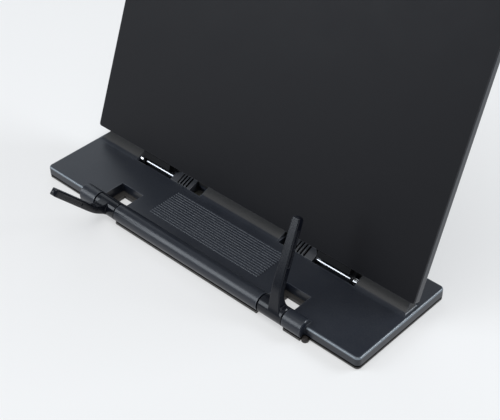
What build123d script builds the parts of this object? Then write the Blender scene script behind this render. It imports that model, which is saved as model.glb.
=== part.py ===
"""Desk copy holder: a ribbed base, a hinged back board, two page arms, two latches and a wire prop.

Drawing frame: y = 0 is the straight front edge of the base, z = 0 is its top surface.
Finished frame: the origin lies on the desk under the middle of the whole holder as it stands,
halfway between the left arm's tip and the board's top, +Z up, front to -Y.
"""
from build123d import *
import math
import os

# ---------------------------------------------------------------- driving dimensions (mm)
# base
base_width = 315.0
base_depth = 93.5
corner_radius = 3.5
rim_radius = 1.7
cover_height = 7.1
cover_top = 2.3
cover_wall = 2.2
seam_gap = 0.6
seam_recess = 0.2
tray_height = 2.5
tray_edge = 0.4
tray_lip_height = 2.6
tray_lip_wall = 1.6
tray_lip_gap = 0.15
foot_drop = 0.8

# front barrel that carries the page arms
barrel_y = 1.0
barrel_z = -3.0
barrel_radius = 7.0
barrel_inset = 45.5
barrel_edge = 0.5

# page arms
arm_inset = 73.1
hub_length = 21.4
hub_radius = 6.9
hub_gap = 1.0
hub_washer = 0.6
axle_diameter = 4.0
axle_reach_inner = 11.7
axle_reach_outer = 12.9
axle_fit = 0.05
hub_bush_wall = 2.0
arm_reach = 68.0
arm_front = 10.0
arm_thickness = 5.6
arm_width = 7.8
arm_tip_width = 6.4
arm_tip_round = 1.6
arm_slant = 0.091
arm_neck = 17.0
arm_neck_shift = 0.6
arm_root_outer = 9.0
arm_face_start = 27.0
arm_back_start = 20.0
arm_edge = 0.8
arm_groove_width = 2.4
arm_groove_depth = 0.6
arm_groove_end = 6.0
right_arm_angle = 59.5
left_arm_angle = 132.2

# windows behind the hubs
window_back = 24.3
window_frame = 2.2
tray_window_width = 13.2
tray_window_back = 21.0
tray_hub_room = 8.8

# hinge of the board
hinge_y = 57.9
hinge_z = -1.3
board_lean = 22.3
hinge_to_board = 9.5
ridge_slope = 22.5
ridge_start = 5.9
ridge_crest = 5.3
ridge_crest_round = 2.4
ridge_foot_round = 12.0
ridge_back = 7.6
ridge_back_round = 1.5
ridge_end_run = 3.0
ridge_end_round = 2.0
ridge_inner_bevel = 1.2
ridge_to_pocket = 1.0
block_margin = 6.0
block_length = 41.5
face_offset = 6.4

# pockets, latches and hinge pins
pocket_ahead = 5.7
pocket_behind = 3.9
pocket_depth = 5.0
pocket_wall = 1.8
pin_diameter = 3.1
pin_fit = 0.05
pin_engage = 3.8
pin_hold = 12.0
pin_show = 37.6
latch_length = 21.4
latch_travel = 9.6
latch_end_gap = 1.0
latch_block_gap = 0.6
latch_rise = 0.15
latch_side_gap = 0.3
latch_flange = 1.0
latch_lip = 1.6
latch_corner = 3.6
grip_bars = 3
grip_pitch = 3.0
grip_width = 1.4
grip_height = 0.7
grip_start = 5.1
keeper_thickness = 1.4
keeper_margin = 3.0
detent_strip = 0.4
detent_width = 3.0
detent_length = 11.0
detent_rise = 0.9
detent_groove = 1.6

# hinge lugs of the board
skirt_length = 29.5
eye_width = 1.8
eye_gap = 0.3
eye_radius = 3.3
skirt_bottom = 4.4
skirt_under = 2.6
lug_tab_length = 22.0
lug_tab_thickness = 2.4
bush_flange = 3.2
bush_flange_radius = 2.6
bush_radius = 2.15
bush_length = 5.0
bearing_reach = 6.0
bearing_half = 4.5
bearing_depth = 5.4

# rib field
rib_count = 14
rib_first = 15.3
rib_pitch = 2.235
rib_margin = 17.9
rib_width = 0.8
rib_height = 0.6

# board
board_overhang = 1.0
board_height = 228.0
board_thickness = 7.0
board_corner = 2.0
face_sheet = 0.8
face_inset = 0.35
frame_front = 1.6
frame_wall = 2.0
back_cover = 1.6
back_cover_gap = 0.2
board_boss_radius = 3.4
board_rib_width = 1.4
board_rib_count = 4
cover_border = 14.0
cover_border_corner = 6.0
cover_border_depth = 0.5
ladder_plate = 30.0
ladder_plate_side = 8.0
board_screw_edge = 10.5
board_screw_inner = 50.0
board_screw_low = 44.0
board_screw_top = 14.15

# wire prop and its notches
prop_wire = 2.6
prop_inset = 5.0
prop_z = -3.4
prop_half = 52.0
prop_stub = 9.0
prop_bend = 1.6
prop_fit = 0.05
prop_slot_gap = 0.8
prop_boss = 3.2
notch_height = 70.0
notch_count = 3
notch_base = 1.0
notch_depth = 5.0
notch_tooth = 1.8
notch_gap = 0.3
ladder_centre = 28.0
ladder_width = 10.0
ladder_margin = 3.0
sleeve_wall = 0.6

# screws and feet
screw_shank = 2.6
screw_head = 5.0
screw_head_height = 1.5
screw_bite = 4.6
boss_radius = 3.6
pad_radius = 5.0
pad_recess = 0.8
front_foot_offset = 1.6
front_foot_y = -1.4
front_foot_radius = 2.6
front_foot_neck = 1.5
front_foot_cap = 2.4
front_foot_dome = 1.6
front_foot_gap = 0.3
front_tab_radius = 2.7
front_tab_height = 1.0
screw_front = 12.0
screw_rear_inset = 13.0
screw_inset = 9.5
screw_middle = 34.0
screw_window_gap = 4.9
screw_window_back = 8.7
pad_inset = 21.5
web_inset = 37.5
web_front = 10.0
web_to_pocket = 2.2
web_drop = 2.9
web_thickness = 1.4

# ---------------------------------------------------------------- derived sizes
tray_top = -(cover_height + seam_gap)
tray_bottom = tray_top - tray_height
desk_z = tray_bottom - foot_drop
stand_height = -desk_z
lean = math.radians(board_lean)
board_bottom = hinge_to_board
board_back = face_offset - board_thickness
half_base = base_width / 2
board_width = base_width + 2 * board_overhang
barrel_end = half_base - barrel_inset
arm_centre = half_base - arm_inset
block_outer = half_base - block_margin
block_inner = block_outer - block_length
latch_outer = block_inner - pin_show
latch_inner = latch_outer - latch_length
pocket_inner = latch_inner - latch_travel - latch_end_gap
pocket_front = hinge_y - pocket_ahead
pocket_back = hinge_y + pocket_behind
ridge_half = pocket_inner - ridge_to_pocket
prop_y = base_depth - prop_inset
front_foot_x = barrel_end + front_foot_offset
hub_inner = arm_centre - hub_length / 2
hub_outer = arm_centre + hub_length / 2
window_inner = hub_inner - hub_gap
window_outer = hub_outer + hub_gap
axle_inner = hub_inner - axle_reach_inner
axle_outer = hub_outer + axle_reach_outer
rib_half_length = window_inner - rib_margin
arm_back = arm_front - arm_thickness
ridge_rise = math.tan(math.radians(ridge_slope))
ridge_foot = hinge_y - ridge_start
bush_face = block_inner - bush_flange
eye_outer = bush_face - eye_gap
eye_inner = eye_outer - eye_width
skirt_inner = eye_inner - skirt_length
pin_tip = block_inner + pin_engage
prop_radius = prop_wire / 2
sleeve_radius = prop_radius + sleeve_wall
bar_depth = notch_base + notch_gap + sleeve_radius
notch_pitch = notch_tooth + 2 * (sleeve_radius + notch_gap)
keeper_top = -(pocket_depth + 0.3)
cavity_top = -cover_top
lip_inset = cover_wall + tray_lip_gap
frame_back = board_back
frame_face = face_offset - face_sheet
frame_floor = frame_face - frame_front
cover_inner = board_back + back_cover
board_top_y = (
    hinge_y + (board_bottom + board_height) * math.sin(lean) - board_back * math.cos(lean)
)
arm_lean = math.radians(left_arm_angle)
arm_tip_y = barrel_y + arm_reach * math.cos(arm_lean) - arm_front * math.sin(arm_lean)
origin_y = round((board_top_y + arm_tip_y) / 2, 1)

screw_rear = base_depth - screw_rear_inset
screw_side = half_base - screw_inset
screw_by_window = window_inner - window_frame - boss_radius - screw_window_gap
screw_spots = [
    (x * side, y)
    for side in (-1, 1)
    for x, y in (
        (screw_side, screw_front), (screw_side, screw_rear), (screw_middle, screw_rear),
        (screw_by_window, window_back + screw_window_back))
]
pad_spots = [
    (x * side, y)
    for side in (-1, 1)
    for x, y in ((half_base - pad_inset, screw_front), (half_base - pad_inset, screw_rear))
]
board_screw_high = board_bottom + board_height - board_screw_top
board_screw_spots = [
    (x * side, v)
    for side in (-1, 1)
    for x in (board_screw_inner, board_width / 2 - board_screw_edge)
    for v in (board_screw_low, (board_screw_low + board_screw_high) / 2, board_screw_high)
]


# ---------------------------------------------------------------- helpers
def box_between(x0, x1, y0, y1, z0, z1):
    """A box given by its two limits on each axis."""
    size = (abs(x1 - x0), abs(y1 - y0), abs(z1 - z0))
    centre = ((x0 + x1) / 2, (y0 + y1) / 2, (z0 + z1) / 2)
    return Pos(*centre) * Box(*size)


def rod_x(x0, x1, y, z, radius):
    """A round rod along X."""
    return Pos((x0 + x1) / 2, y, z) * Rot(0, 90, 0) * Cylinder(radius, abs(x1 - x0))


def along_x(sketch, x0, x1):
    """A sketch whose plane axes are read as Y and Z, extruded from x0 to x1."""
    return Pos(min(x0, x1), 0, 0) * extrude(Plane.YZ * sketch, abs(x1 - x0))


def closed(points):
    """A face bounded by straight lines through the points."""
    return make_face(Polyline(*points, close=True))


def both_sides(shape):
    """A right-hand shape and its mirror image."""
    return [shape, mirror(shape, Plane.YZ)]


def on_board(shape):
    """Moves a shape from the board's own axes (x, depth forward = -y, height = z) to the hinge."""
    return Pos(0, hinge_y, hinge_z) * Rot(-board_lean, 0, 0) * shape


def one(shapes):
    """One shape out of a list of solids."""
    return Compound(children=list(shapes))


# ---------------------------------------------------------------- base
def base_outline(inset=0.0):
    width = base_width - 2 * inset
    depth = base_depth - 2 * inset
    return Pos(0, base_depth / 2) * RectangleRounded(width, depth, max(corner_radius - inset, 0.5))


def barrel_solid(radius, end, edge):
    """The front barrel along X, with its end edges broken."""
    barrel = rod_x(-end, end, barrel_y, barrel_z, radius)
    return chamfer(barrel.edges().filter_by(GeomType.CIRCLE), edge)


def ridge_profile():
    """Hinge ridge: a shallow face rising to the back with a hollow foot, and a steep rear."""
    crest_y = hinge_y + ridge_crest
    crest = (crest_y, (crest_y - ridge_foot) * ridge_rise)
    foot = (ridge_foot, 0)
    heel = (hinge_y + ridge_back, 0)
    room = ridge_foot_round
    profile = closed([
        (ridge_foot - room, -cover_top), (ridge_foot - room, 0), foot, crest, heel,
        (heel[0] + 2 * ridge_back_round, 0), (heel[0] + 2 * ridge_back_round, -cover_top),
    ])
    for spot, radius in ((foot, ridge_foot_round), (crest, ridge_crest_round), (heel, ridge_back_round)):
        corner = profile.vertices().sort_by_distance(Vector(*spot, 0))[0]
        profile = fillet(corner, radius)
    return profile


def ridge_centre():
    return along_x(ridge_profile(), -ridge_half, ridge_half)


def ridge_block():
    """Right-hand block: cut square beside the pocket, running out softly at its outer end."""
    top = (hinge_y + ridge_crest - ridge_foot) * ridge_rise
    end = block_outer + ridge_end_run
    slope = ridge_end_run / top
    last = half_base - rim_radius
    side = closed([
        (block_inner, -cover_top), (last, -cover_top), (last, 0),
        (end, 0), (end - slope * 2 * top, 2 * top), (block_inner, 2 * top),
    ])
    corner = side.vertices().sort_by_distance(Vector(end, 0, 0))[0]
    side = fillet(corner, ridge_end_round)
    side = Pos(0, base_depth, 0) * extrude(Plane.XZ * side, base_depth)
    return along_x(ridge_profile(), block_inner, last) & side


def ridge_bevel():
    """Room for the bevel along the block's edge beside the pocket."""
    out = 1.0
    wedge = Pos(block_inner, 0, 0) * closed([
        (-out, out), (ridge_inner_bevel + out, out), (-out, -ridge_inner_bevel - out)])
    length = ridge_start + ridge_crest + ridge_crest_round
    return on_ridge(Pos(0, length, 0) * extrude(Plane.XZ * wedge, length))


def pocket_space():
    """Right-hand hinge pocket with the wider track for the latch flanges below it."""
    well = box_between(pocket_inner, block_inner, pocket_front, pocket_back, -pocket_depth, 30)
    track = box_between(
        pocket_inner, latch_outer + latch_block_gap,
        pocket_front - latch_flange, pocket_back + latch_flange,
        keeper_top, -latch_lip,
    )
    throat = box_between(pocket_inner, latch_outer + latch_block_gap, pocket_front, pocket_back, keeper_top, 0)
    return well + track + throat


def prop_slot():
    """Right-hand slot in the rear edge that the prop's leg swings in."""
    half = prop_radius + prop_slot_gap
    return box_between(
        prop_half - half, prop_half + half, prop_y - half - 0.4, base_depth + 5, -cover_height - 1, 30
    )


def prop_socket_block():
    half = prop_radius + prop_slot_gap
    return box_between(
        prop_half + half, prop_half + half + prop_stub,
        prop_y - prop_boss, base_depth - cover_wall, -cover_height, cavity_top,
    )


def base_top_cover():
    slab = extrude(Pos(0, 0, -cover_height) * base_outline(), cover_height)
    slab = fillet(slab.faces().sort_by(Axis.Z)[-1].edges(), rim_radius)
    slab = slab + ridge_centre() + both_sides(ridge_block())
    barrel = barrel_solid(barrel_radius, barrel_end, barrel_edge)
    slab = slab + barrel.intersect(box_between(-200, 200, -20, 30, -cover_height, 20))
    # hollow underside, with the solid barrel, window frames, pockets and bosses left standing
    hollow = extrude(Pos(0, 0, -cover_height - 1) * base_outline(cover_wall), cover_height + 1 - cover_top)
    keep = [box_between(-200, 200, -20, barrel_y + barrel_radius + 1.2, -20, 20)]
    for window in both_sides(box_between(
            window_inner - window_frame, window_outer + window_frame,
            0, window_back + window_frame, -20, 20)):
        keep.append(window)
    for block in both_sides(box_between(
            pocket_inner - pocket_wall, block_inner + pocket_wall,
            pocket_front - latch_flange - pocket_wall, pocket_back + latch_flange + pocket_wall,
            keeper_top, 0)):
        keep.append(block)
    for floor in both_sides(box_between(
            latch_outer + keeper_margin + 0.3, block_inner + pocket_wall,
            pocket_front - latch_flange - pocket_wall, pocket_back + latch_flange + pocket_wall,
            -pocket_depth - pocket_wall, keeper_top)):
        keep.append(floor)
    for block in both_sides(box_between(
            block_inner, block_inner + bush_length + bearing_reach,
            hinge_y - bearing_half, hinge_y + bearing_half, -bearing_depth, 0)):
        keep.append(block)
    keep += both_sides(prop_socket_block())
    for x, y in screw_spots:
        keep.append(Pos(x, y, -cover_height / 2) * Cylinder(boss_radius, cover_height))
    for piece in keep:
        hollow = hollow - piece
    slab = slab - hollow
    # stiffening webs across the underside
    for x in (-(half_base - web_inset), 0, half_base - web_inset):
        web = box_between(
            x - web_thickness / 2, x + web_thickness / 2,
            web_front, pocket_front - web_to_pocket, cavity_top - web_drop, cavity_top + 0.2)
        slab = slab + web
    slab = slab - both_sides(box_between(window_inner, window_outer, -20, window_back, -20, 20))
    slab = slab - both_sides(pocket_space()) - both_sides(ridge_bevel())
    slab = slab - both_sides(prop_slot())
    half = prop_radius + prop_slot_gap
    socket = rod_x(prop_half, prop_half + half + prop_stub - 1, prop_y, prop_z, prop_radius + prop_fit)
    slab = slab - both_sides(socket)
    axle_hole = rod_x(axle_inner, axle_outer, barrel_y, barrel_z, axle_diameter / 2)
    slab = slab - both_sides(axle_hole)
    bush_hole = rod_x(block_inner - 1, block_inner + bush_length, hinge_y, hinge_z, bush_radius)
    tip_hole = rod_x(block_inner, block_inner + bush_length + 2, hinge_y, hinge_z, pin_diameter / 2 + 0.4)
    slab = slab - both_sides(bush_hole) - both_sides(tip_hole)
    for x, y in screw_spots:
        slab = slab - Pos(x, y, -cover_height + screw_bite / 2) * Cylinder(screw_shank / 2, screw_bite)
    return slab + rib_field()


def rib_field():
    """Fine ribs, rounded on top, that keep the foot of a book or sheet from sliding."""
    ribs = []
    for i in range(rib_count):
        y = rib_first + i * rib_pitch
        profile = closed([
            (y - rib_width / 2, -0.3), (y + rib_width / 2, -0.3),
            (y + rib_width / 4, rib_height), (y - rib_width / 4, rib_height),
        ])
        ribs.append(along_x(profile, -rib_half_length, rib_half_length))
    return ribs


def base_bottom_shell():
    plate = extrude(Pos(0, 0, tray_bottom) * base_outline(seam_recess), tray_height)
    plate = chamfer(plate.faces().sort_by(Axis.Z)[0].edges(), tray_edge)
    barrel = rod_x(-barrel_end + 0.4, barrel_end - 0.4, barrel_y, barrel_z, barrel_radius)
    plate = plate + barrel.intersect(box_between(-200, 200, -20, 6, tray_bottom, tray_top))
    tab = Cylinder(front_tab_radius, front_tab_height)
    for side in (-1, 1):
        plate = plate + Pos(
            side * front_foot_x, front_foot_y + 0.6, tray_bottom + front_tab_height / 2) * tab
    rim_outer = extrude(Pos(0, 0, tray_top) * base_outline(lip_inset), tray_lip_height)
    rim_inner = extrude(Pos(0, 0, tray_top - 1) * base_outline(lip_inset + tray_lip_wall), tray_lip_height + 2)
    rim = rim_outer - rim_inner - box_between(-200, 200, -20, barrel_y + barrel_radius + 1.6, -20, 20)
    half = prop_radius + prop_slot_gap
    for block in both_sides(box_between(
            prop_half - half - 0.3, prop_half + half + prop_stub + 0.3,
            prop_y - prop_boss - 0.3, base_depth + 1, tray_top, 0)):
        rim = rim - block
    plate = plate + rim
    plate = plate - both_sides(box_between(window_inner, window_outer, -20, tray_hub_room, -20, 0))
    plate = plate - both_sides(box_between(
        arm_centre - tray_window_width / 2, arm_centre + tray_window_width / 2,
        0, tray_window_back, -20, 0))
    for x, y in screw_spots:
        stem_height = seam_gap + 0.4
        stem = Pos(x, y, -cover_height - stem_height / 2) * Cylinder(boss_radius - 0.3, stem_height)
        plate = plate + stem
    for x, y in screw_spots:
        plate = plate - Pos(x, y, tray_bottom) * Cylinder(screw_shank / 2 + 0.2, 20)
        plate = plate - Pos(x, y, tray_bottom) * Cylinder(screw_head / 2 + 0.3, 2 * screw_head_height)
    for x, y in pad_spots:
        plate = plate - Pos(x, y, tray_bottom) * Cylinder(pad_radius + 0.1, 2 * pad_recess)
    for side in (-1, 1):
        plate = plate - Pos(side * front_foot_x, front_foot_y, tray_bottom) * Cylinder(
            front_foot_neck + 0.05, 10)
        relief = Pos(side * front_foot_x, front_foot_y, tray_bottom + front_tab_height + 5)
        plate = plate - relief * Cylinder(front_foot_cap + front_foot_gap, 10)
    return plate


def screw_at(x, y, head_z, length):
    """A pan-head screw pointing up, its head's flat top towards -Z."""
    shank = Pos(x, y, head_z + screw_head_height + length / 2) * Cylinder(screw_shank / 2, length)
    head = Pos(x, y, head_z + screw_head_height / 2) * Cylinder(screw_head / 2, screw_head_height)
    head = chamfer(head.edges().group_by(Axis.Z)[0], 0.5)
    return shank + head


def base_screws():
    length = -cover_height + screw_bite - (tray_bottom + screw_head_height) - 0.3
    return one(screw_at(x, y, tray_bottom, length) for x, y in screw_spots)


def base_pads():
    pads = []
    for x, y in pad_spots:
        height = foot_drop + pad_recess
        pad = Pos(x, y, desk_z + height / 2) * Cylinder(pad_radius, height)
        pads.append(chamfer(pad.edges().group_by(Axis.Z)[0], 0.5))
    return one(pads)


def front_feet():
    """Turned rubber buttons: a pad on the desk, a neck in the tab and a domed cap above it."""
    top = tray_bottom + front_tab_height
    pad = Pos(0, 0, desk_z + foot_drop / 2) * Cylinder(front_foot_radius, foot_drop)
    pad = chamfer(pad.edges().group_by(Axis.Z)[0], 0.4)
    neck = Pos(0, 0, (tray_bottom + top) / 2) * Cylinder(front_foot_neck, front_tab_height)
    cap = Pos(0, 0, top + front_foot_dome / 2) * Cylinder(front_foot_cap, front_foot_dome)
    cap = fillet(cap.edges().group_by(Axis.Z)[-1], front_foot_dome * 0.75)
    button = pad + neck + cap
    return one(Pos(side * front_foot_x, front_foot_y, 0) * button for side in (-1, 1))


def axle():
    body = rod_x(axle_inner, axle_outer, barrel_y, barrel_z, axle_diameter / 2)
    return chamfer(body.edges().filter_by(GeomType.CIRCLE), 0.4)


def hub_washers():
    """Friction washers, one in each gap beside the hub."""
    rings = []
    play = (hub_gap - hub_washer) / 2
    for x0 in (window_inner + play, hub_outer + play):
        ring = rod_x(x0, x0 + hub_washer, barrel_y, barrel_z, barrel_radius - 1.4)
        rings.append(ring - rod_x(x0 - 1, x0 + 2, barrel_y, barrel_z, axle_diameter / 2))
    return one(rings)


def hinge_bushing():
    bush = rod_x(block_inner, block_inner + bush_length, hinge_y, hinge_z, bush_radius)
    flange = rod_x(bush_face, block_inner, hinge_y, hinge_z, bush_flange_radius)
    bore = rod_x(bush_face - 1, block_inner + bush_length + 1, hinge_y, hinge_z, pin_diameter / 2 + pin_fit)
    return bush + flange - bore


def latch_keeper():
    plate = box_between(
        pocket_inner - pocket_wall + 0.2, latch_outer + keeper_margin,
        pocket_front - latch_flange - pocket_wall + 0.2, pocket_back + latch_flange + pocket_wall - 0.2,
        keeper_top - keeper_thickness, keeper_top,
    )
    return chamfer(plate.edges().filter_by(Axis.Z), 1.0)


def detent_spring():
    """A thin leaf on the keeper with a raised nose that rides in the latch's groove."""
    mid = (pocket_front + pocket_back) / 2
    x0 = latch_inner + 4
    x1 = x0 + detent_length
    rise = keeper_top + detent_rise
    top = Spline(
        (x0, keeper_top + detent_strip), (x0 + 4, keeper_top + detent_strip),
        ((x0 + x1) / 2 + 1, rise), (x1, keeper_top + detent_strip), tangents=((1, 0), (1, -0.6)))
    side = Line((x1, keeper_top + detent_strip), (x1, keeper_top))
    floor = Line((x1, keeper_top), (x0, keeper_top))
    end = Line((x0, keeper_top), (x0, keeper_top + detent_strip))
    face = Plane.XZ * make_face([top, side, floor, end])
    return Pos(0, mid + detent_width / 2, 0) * extrude(face, detent_width)


# ---------------------------------------------------------------- latches
def on_ridge(shape):
    """Moves a shape from the ridge face's own axes (x, up the slope, out of it) to its place."""
    return Pos(0, ridge_foot, latch_rise) * Rot(ridge_slope, 0, 0) * shape


def latch_slider():
    front = pocket_front + latch_side_gap
    back = pocket_back - latch_side_gap
    side = closed([
        (front, -pocket_depth), (back, -pocket_depth),
        (back, latch_rise + (back - ridge_foot) * ridge_rise),
        (front, latch_rise + (front - ridge_foot) * ridge_rise),
    ])
    body = along_x(side, latch_inner, latch_outer)
    corner = body.edges().filter_by(Axis.Z).sort_by(lambda e: e.center().X + e.center().Y)[-1]
    body = chamfer(corner, latch_corner)
    body = fillet(body.faces().sort_by(Axis.Z)[-1].edges(), 0.4)
    flange = box_between(
        latch_inner, latch_outer - latch_corner,
        front - latch_flange, back + latch_flange,
        -pocket_depth, -latch_lip - 0.3,
    )
    body = body + flange
    slope_length = (back - front) / math.cos(math.radians(ridge_slope))
    for i in range(grip_bars):
        x = latch_inner + grip_start + i * grip_pitch
        bar = box_between(x, x + grip_width, 1.2, slope_length - 0.7, -0.5, grip_height)
        body = body + on_ridge(fillet(bar.faces().sort_by(Axis.Z)[-1].edges().filter_by(Axis.Y), 0.35))
    groove_mid = (pocket_front + pocket_back) / 2
    half = detent_width / 2 + 0.5
    groove = box_between(
        latch_inner - 1, latch_outer + 1, groove_mid - half, groove_mid + half,
        -pocket_depth - 1, -pocket_depth + detent_groove - 0.4)
    body = body - groove
    return body - rod_x(latch_outer - pin_hold, latch_outer + 1, hinge_y, hinge_z, pin_diameter / 2)


def hinge_pin():
    pin = rod_x(latch_outer - pin_hold, pin_tip, hinge_y, hinge_z, pin_diameter / 2)
    return chamfer(pin.edges().filter_by(GeomType.CIRCLE), 0.35)


# ---------------------------------------------------------------- page arms
def arm_side_profile():
    """Side view of an arm: y runs along the finger from the axle, z towards the page side."""
    back_start = (hub_radius * 0.86, -hub_radius * 0.51)
    tip = arm_reach - arm_tip_round
    front = Spline(
        (0, hub_radius), (arm_face_start * 0.45, arm_front - 1.0), (arm_face_start, arm_front),
        tangents=((1, 0), (1, 0)))
    tip_mid = (arm_reach, (arm_front + arm_back) / 2)
    top = Line((arm_face_start, arm_front), (tip, arm_front))
    end = ThreePointArc((tip, arm_front), tip_mid, (tip, arm_back))
    under = Line((tip, arm_back), (arm_back_start, arm_back))
    back = Spline(
        (arm_back_start, arm_back), (arm_back_start * 0.55, arm_back * 0.45), back_start,
        tangents=((-1, 0), (-0.5, -1)))
    close_a = Line(back_start, (0, 0))
    close_b = Line((0, 0), (0, hub_radius))
    return make_face([front, top, end, under, back, close_a, close_b])


def finger_edge(side, along):
    """Sideways place of the finger's left (-1) or right (+1) edge at a distance from the axle."""
    tip = arm_reach - arm_tip_width / 2
    share = (along - arm_neck) / (tip - arm_neck)
    half = (arm_width + (arm_tip_width - arm_width) * share) / 2
    return arm_neck_shift - arm_slant * (along - arm_neck) + side * half


def arm_front_outline():
    """Front view: the outer side sweeps in from the hub, and the finger leans inward to a round end."""
    tip = arm_reach - arm_tip_width / 2
    base = (finger_edge(-1, -hub_radius), -hub_radius)
    left_tip = (finger_edge(-1, tip), tip)
    right_tip = (finger_edge(1, tip), tip)
    right_neck = (finger_edge(1, arm_neck), arm_neck)
    left = Line(base, left_tip)
    end = ThreePointArc(left_tip, (finger_edge(0, arm_reach), arm_reach), right_tip)
    right = Line(right_tip, right_neck)
    root = Spline(right_neck, (arm_root_outer, 1.0), tangents=((0.104, -1), (0.5, -1)))
    foot = Polyline((arm_root_outer, 1.0), (arm_root_outer, -hub_radius), base)
    return make_face([left, end, right, root, foot])


def finger_grooves():
    """Shallow grooves along both sides of the finger."""
    middle = (arm_front + arm_back) / 2
    low = arm_face_start + arm_groove_end
    high = arm_reach - arm_tip_width / 2 - arm_groove_end
    grooves = []
    for side in (-1, 1):
        a, b = finger_edge(side, low), finger_edge(side, high)
        strip = closed([
            (a - side * arm_groove_depth, low), (b - side * arm_groove_depth, high),
            (b + side, high), (a + side, low),
        ])
        strip = extrude(strip, arm_groove_width)
        grooves.append(Pos(0, 0, middle - arm_groove_width / 2) * strip)
    return grooves


def arm_lever():
    """Right-hand arm in its own axes: x along the axle, y along the finger."""
    side = along_x(arm_side_profile(), -hub_length / 2, hub_length / 2)
    outline = Pos(0, 0, -20) * extrude(arm_front_outline(), 50)
    finger = side.intersect(outline)
    hub = rod_x(-hub_length / 2, hub_length / 2, 0, 0, hub_radius)
    hub = chamfer(hub.edges().filter_by(GeomType.CIRCLE), 0.5)
    tip_edges = [e for e in finger.edges() if e.center().Y > arm_face_start + 2]
    finger = fillet(tip_edges, arm_edge)
    lever = finger - finger_grooves() + hub
    return lever - rod_x(-hub_length, hub_length, 0, 0, axle_diameter / 2 + hub_bush_wall)


def hub_bush():
    outer = rod_x(-hub_length / 2 + 0.3, hub_length / 2 - 0.3, 0, 0, axle_diameter / 2 + hub_bush_wall)
    return outer - rod_x(-hub_length, hub_length, 0, 0, axle_diameter / 2 + axle_fit)


def arm_placed(shape, side, angle):
    turned = Pos(arm_centre, barrel_y, barrel_z) * Rot(angle, 0, 0) * shape
    return turned if side > 0 else mirror(turned, Plane.YZ)


# ---------------------------------------------------------------- board
def board_slab(inset, depth_back, depth_front, corner):
    """A plate of the board's outline between two depths, positive towards the reader."""
    width = board_width - 2 * inset
    height = board_height - 2 * inset
    sketch = Pos(0, board_bottom + board_height / 2) * RectangleRounded(width, height, corner)
    plate = extrude(Plane.XZ * sketch, depth_front - depth_back)
    return Pos(0, -depth_back, 0) * plate


def board_frame():
    body = board_slab(0, frame_back, frame_face, board_corner)
    body = chamfer(body.faces().sort_by(Axis.Y)[0].edges(), 0.35)
    body = fillet(body.faces().sort_by(Axis.Y)[-1].edges(), 1.2)
    inner_corner = max(board_corner - frame_wall, 0.6)
    cavity = board_slab(frame_wall, frame_back - 1, frame_floor, inner_corner)
    for x, v in board_screw_spots:
        boss = Pos(x, -(cover_inner + frame_floor) / 2, v) * Rot(90, 0, 0) * Cylinder(
            board_boss_radius, frame_floor - cover_inner)
        cavity = cavity - boss
    for i in range(board_rib_count):
        v = board_bottom + (i + 1) * board_height / (board_rib_count + 1)
        rib = box_between(
            -board_width, board_width, -frame_floor, -(cover_inner + 1.0),
            v - board_rib_width / 2, v + board_rib_width / 2)
        cavity = cavity - rib
    body = body - cavity
    slot = box_between(
        skirt_inner + 1 - 0.1, eye_outer + 0.1,
        -(lug_tab_thickness + cover_inner + 0.1), -cover_inner + 0.1,
        board_bottom - 1, board_bottom + frame_wall + 1)
    body = body - both_sides(slot)
    for x, v in board_screw_spots:
        hole = Pos(x, -(frame_floor - 1.2), v) * Rot(90, 0, 0) * Cylinder(screw_shank / 2, 6)
        body = body - hole
    return on_board(body)


def board_face_sheet():
    return on_board(board_slab(face_inset, frame_face, face_offset, board_corner))


def board_back_cover():
    inset = frame_wall + back_cover_gap
    plate = board_slab(inset, board_back, cover_inner, 0.6)
    panel = board_slab(
        inset + cover_border, board_back - 1, board_back + cover_border_depth, cover_border_corner)
    ladder_half = prop_half + ladder_plate_side
    ladder_room = box_between(
        -ladder_half, ladder_half, -3 * board_thickness, 3 * board_thickness,
        notch_height - ladder_plate, notch_height + ladder_plate)
    plate = plate - (panel - ladder_room)
    for x, v in board_screw_spots:
        hole = Pos(x, -board_back, v) * Rot(90, 0, 0) * Cylinder(screw_shank / 2 + 0.2, 10)
        sink = Pos(x, -board_back, v) * Rot(90, 0, 0) * Cylinder(screw_head / 2 + 0.3, 1.6)
        plate = plate - hole - sink
    return on_board(plate)


def board_screws():
    screws = []
    for x, v in board_screw_spots:
        shank = Pos(x, -(board_back + 0.8 + 2.2), v) * Rot(90, 0, 0) * Cylinder(screw_shank / 2 - 0.05, 4.4)
        head = Pos(x, -(board_back + 0.5), v) * Rot(90, 0, 0) * Cylinder(screw_head / 2, 0.6)
        screws.append(on_board(shank + head))
    return one(screws)


def notch_ladder():
    """Toothed strip on the back of the board; the prop's bar sits under a tooth."""
    seat = bar_depth - sleeve_radius - notch_gap
    low = notch_height - (notch_count - 1) * notch_pitch - prop_radius - ladder_margin
    high = notch_height + sleeve_radius + notch_gap + notch_tooth + ladder_margin
    strip = closed([(0, low), (seat, low + seat), (seat, high - seat), (0, high)])
    body = along_x(strip, ladder_centre - ladder_width / 2, ladder_centre + ladder_width / 2)
    for i in range(notch_count):
        v = notch_height - i * notch_pitch + sleeve_radius + notch_gap
        tooth = closed([
            (seat - 0.2, v), (notch_depth - 0.4, v), (notch_depth, v + 0.4),
            (notch_depth, v + notch_tooth * 0.5), (seat - 0.2, v + notch_tooth),
        ])
        body = body + along_x(tooth, ladder_centre - ladder_width / 2, ladder_centre + ladder_width / 2)
    return on_board(Pos(0, -board_back, 0) * body)


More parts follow.
